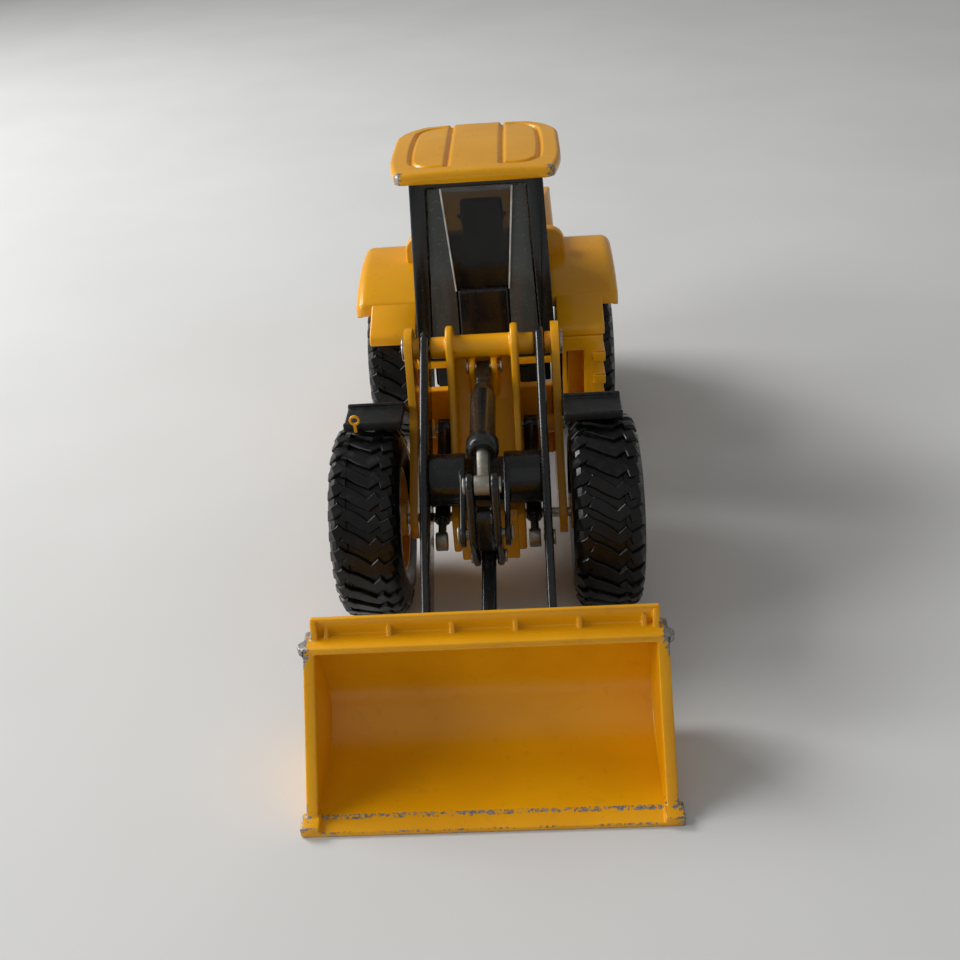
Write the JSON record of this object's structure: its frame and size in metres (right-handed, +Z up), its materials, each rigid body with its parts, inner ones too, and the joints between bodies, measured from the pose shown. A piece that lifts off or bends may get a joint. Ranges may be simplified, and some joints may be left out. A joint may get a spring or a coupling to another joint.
{
  "type": "toy wheel loader",
  "caption": "Articulated toy wheel loader with a cab, turning wheels and a bucket raised and tipped by cylinders and a rocker linkage.",
  "frame": {"origin": "bottom centre of the bounding box at rest, on the ground", "axes": "+Z up, -Y towards the bucket, +X towards the machine's left side"},
  "size_m": [0.0824, 0.234, 0.1024],
  "materials": {
    "yellow_paint": "glossy cast metal paint with chipped edges",
    "yellow_plastic": "satin moulded rims",
    "gloss_black": "glossy moulded lift gear",
    "guard_grey": "satin dark grey moulding",
    "seat_black": "matt moulding",
    "tyre_rubber": "soft black rubber",
    "bare_steel": "plated rods, pins and rivets",
    "clear_glazing": "clear, slightly smoked plastic"
  },
  "bodies": {
    "rear_chassis": {"rear_frame": "guard_grey", "rear_axle": "bare_steel", "rear_base_screws": "bare_steel", "rear_body": "yellow_paint", "access_ladder": "yellow_paint", "cab_shell": "gloss_black", "cab_roof": "yellow_paint", "cab_glazing": "clear_glazing", "dashboard": "gloss_black", "steering_wheel": "gloss_black", "seat": "seat_black", "radiator_grille": "guard_grey", "counterweight": "yellow_paint"},
    "front_chassis": {"front_frame": "yellow_paint", "front_axle_block": "yellow_paint", "front_axle": "bare_steel", "left_cheek_plate": "yellow_paint", "right_cheek_plate": "yellow_paint", "left_mudguard": "guard_grey", "right_mudguard": "guard_grey", "marker_lamp_ring": "yellow_paint", "lift_arm_pins": "bare_steel", "lift_base_pins": "bare_steel", "steering_pin": "bare_steel", "front_base_screws": "bare_steel", "tilt_base_pin": "bare_steel"},
    "lift_arms": {"left_lift_arm": "gloss_black", "right_lift_arm": "gloss_black", "torque_tube": "gloss_black", "lift_rod_rivets": "bare_steel", "bellcrank_pin": "bare_steel", "bucket_pins": "bare_steel"},
    "left_lift_barrel": {"left_lift_barrel": "gloss_black"},
    "right_lift_barrel": {"right_lift_barrel": "gloss_black"},
    "left_lift_rod": {"left_lift_rod": "bare_steel"},
    "right_lift_rod": {"right_lift_rod": "bare_steel"},
    "tilt_barrel": {"tilt_barrel": "gloss_black"},
    "tilt_sleeve": {"tilt_sleeve": "bare_steel"},
    "tilt_rod": {"tilt_rod": "bare_steel"},
    "bellcrank": {"bellcrank": "gloss_black", "bellcrank_rivets": "bare_steel", "link_pin": "bare_steel"},
    "bucket_link": {"bucket_link": "gloss_black"},
    "bucket": {"bucket": "yellow_paint", "bucket_link_rivets": "bare_steel"},
    "front_left_wheel": {"front_left_tyre": "tyre_rubber", "front_left_rim": "yellow_plastic"},
    "front_right_wheel": {"front_right_tyre": "tyre_rubber", "front_right_rim": "yellow_plastic"},
    "rear_left_wheel": {"rear_left_tyre": "tyre_rubber", "rear_left_rim": "yellow_plastic"},
    "rear_right_wheel": {"rear_right_tyre": "tyre_rubber", "rear_right_rim": "yellow_plastic"}
  },
  "joints": [
    {"name": "steering", "type": "hinge", "parent": "rear_chassis", "child": "front_chassis", "pos_m": [0, 0.0145, 0.025], "axis": [0, 0, 1], "range_deg": [-32, 32]},
    {"name": "front_left_spin", "type": "hinge", "parent": "front_chassis", "child": "front_left_wheel", "pos_m": [0.03035, -0.033, 0.025], "axis": [1, 0, 0], "continuous": true},
    {"name": "front_right_spin", "type": "hinge", "parent": "front_chassis", "child": "front_right_wheel", "pos_m": [-0.03035, -0.033, 0.025], "axis": [1, 0, 0], "continuous": true},
    {"name": "rear_left_spin", "type": "hinge", "parent": "rear_chassis", "child": "rear_left_wheel", "pos_m": [0.03035, 0.062, 0.025], "axis": [1, 0, 0], "continuous": true},
    {"name": "rear_right_spin", "type": "hinge", "parent": "rear_chassis", "child": "rear_right_wheel", "pos_m": [-0.03035, 0.062, 0.025], "axis": [1, 0, 0], "continuous": true},
    {"name": "lift", "type": "hinge", "parent": "front_chassis", "child": "lift_arms", "pos_m": [0, -0.005, 0.061], "axis": [-1, 0, 0], "range_deg": [0, 60]},
    {"name": "left_lift_barrel_swing", "type": "hinge", "parent": "front_chassis", "child": "left_lift_barrel", "pos_m": [0.0119, -0.006, 0.0368], "axis": [-1, 0, 0], "range_deg": [-0.05, 55.77]},
    {"name": "right_lift_barrel_swing", "type": "hinge", "parent": "front_chassis", "child": "right_lift_barrel", "pos_m": [-0.0119, -0.006, 0.0368], "axis": [-1, 0, 0], "range_deg": [-0.05, 55.77]},
    {"name": "left_lift_rod_slide", "type": "slide", "parent": "left_lift_barrel", "child": "left_lift_rod", "axis": [0, -0.9605, -0.2783], "range_m": [0, 0.02393]},
    {"name": "right_lift_rod_slide", "type": "slide", "parent": "right_lift_barrel", "child": "right_lift_rod", "axis": [0, -0.9605, -0.2783], "range_m": [0, 0.02393]},
    {"name": "tilt", "type": "hinge", "parent": "lift_arms", "child": "bucket", "pos_m": [0, -0.076, 0.008], "axis": [-1, 0, 0], "range_deg": [-45, 30]},
    {"name": "bellcrank_turn", "type": "hinge", "parent": "lift_arms", "child": "bellcrank", "pos_m": [0, -0.0546, 0.034], "axis": [-1, 0, 0], "range_deg": [-12.59, 18.86]},
    {"name": "bucket_link_turn", "type": "hinge", "parent": "bellcrank", "child": "bucket_link", "pos_m": [0, -0.0476, 0.0223], "axis": [-1, 0, 0], "range_deg": [-22.32, 14.9]},
    {"name": "tilt_barrel_turn", "type": "hinge", "parent": "front_chassis", "child": "tilt_barrel", "pos_m": [0, -0.0076, 0.056], "axis": [-1, 0, 0], "range_deg": [-0.05, 60.77]},
    {"name": "tilt_sleeve_slide", "type": "slide", "parent": "tilt_barrel", "child": "tilt_sleeve", "axis": [0, -0.9867, -0.1624], "range_m": [0, 0.00561]},
    {"name": "tilt_rod_slide", "type": "slide", "parent": "tilt_sleeve", "child": "tilt_rod", "axis": [0, -0.9867, -0.1624], "range_m": [-0.00403, 0.00269]}
  ],
  "couplings": [
    {"joint": "left_lift_barrel_swing", "follows": "lift", "ratio": 0.9286},
    {"joint": "right_lift_barrel_swing", "follows": "lift", "ratio": 0.9286},
    {"joint": "left_lift_rod_slide", "follows": "lift", "m_per_rad": 0.022839},
    {"joint": "right_lift_rod_slide", "follows": "lift", "m_per_rad": 0.022839},
    {"joint": "tilt_barrel_turn", "follows": "lift", "ratio": 1.012},
    {"joint": "tilt_sleeve_slide", "follows": "lift", "m_per_rad": 0.00535},
    {"joint": "bellcrank_turn", "follows": "tilt", "ratio": -0.418},
    {"joint": "bucket_link_turn", "follows": "tilt", "ratio": 0.495},
    {"joint": "tilt_rod_slide", "follows": "tilt", "m_per_rad": 0.005113}
  ]
}
